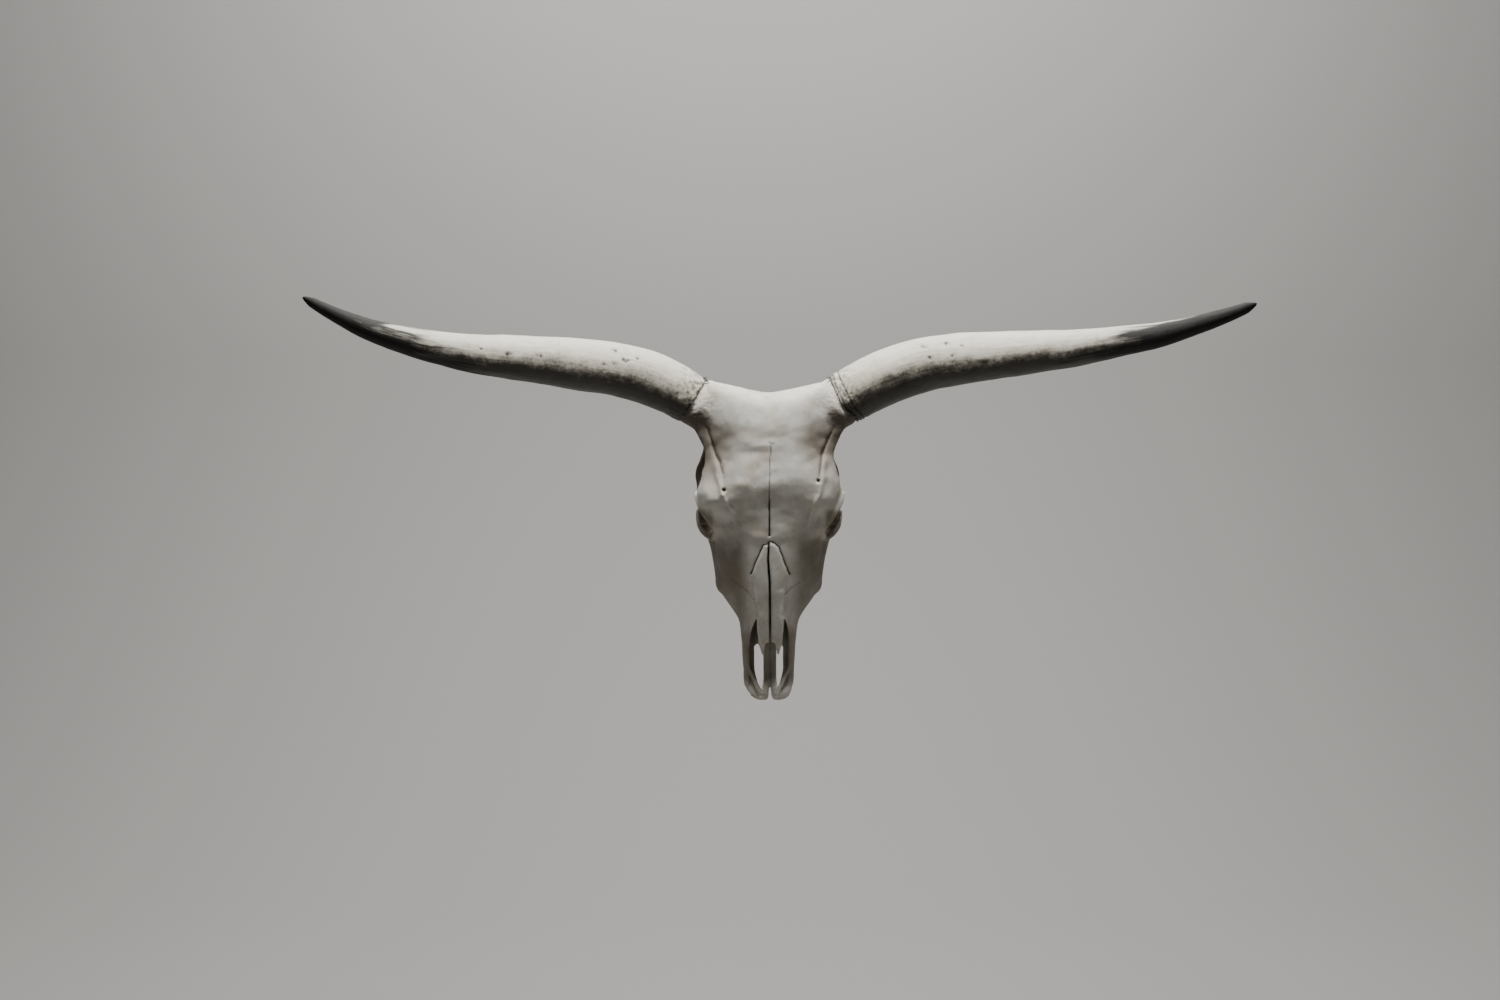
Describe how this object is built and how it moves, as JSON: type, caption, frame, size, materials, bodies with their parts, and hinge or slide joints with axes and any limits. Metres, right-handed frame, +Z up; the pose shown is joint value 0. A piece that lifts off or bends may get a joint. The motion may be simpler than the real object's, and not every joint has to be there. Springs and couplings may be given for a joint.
{
  "type": "mounted longhorn skull",
  "caption": "Bleached cattle skull with long upswept horn sheaths, open eye sockets and nose and worn cheek teeth, on a stepped keyhole hanger for a wall.",
  "frame": {"origin": "on the back of the hanger where it lies on the wall, just below the keyhole, on the skull's mid-line", "axes": "+X to the viewer's right, +Y into the wall, +Z up; the skull faces -Y, nose down"},
  "size_m": [1.1355, 0.361, 0.5189],
  "materials": {
    "bone": null,
    "horn": "weathered horn keratin, ivory with dark streaks and blackish tips",
    "tooth": "worn, stained enamel and dentine",
    "steel": "dull galvanised steel"
  },
  "bodies": {
    "root": {"skull": "bone", "horn_sheath_left": "horn", "horn_sheath_right": "horn", "premolar_1_left": "tooth", "premolar_2_left": "tooth", "premolar_3_left": "tooth", "molar_1_left": "tooth", "molar_2_left": "tooth", "molar_3_left": "tooth", "premolar_1_right": "tooth", "premolar_2_right": "tooth", "premolar_3_right": "tooth", "molar_1_right": "tooth", "molar_2_right": "tooth", "molar_3_right": "tooth", "hanger": "steel", "hanger_screw_upper": "steel", "hanger_screw_lower": "steel"}
  },
  "joints": []
}
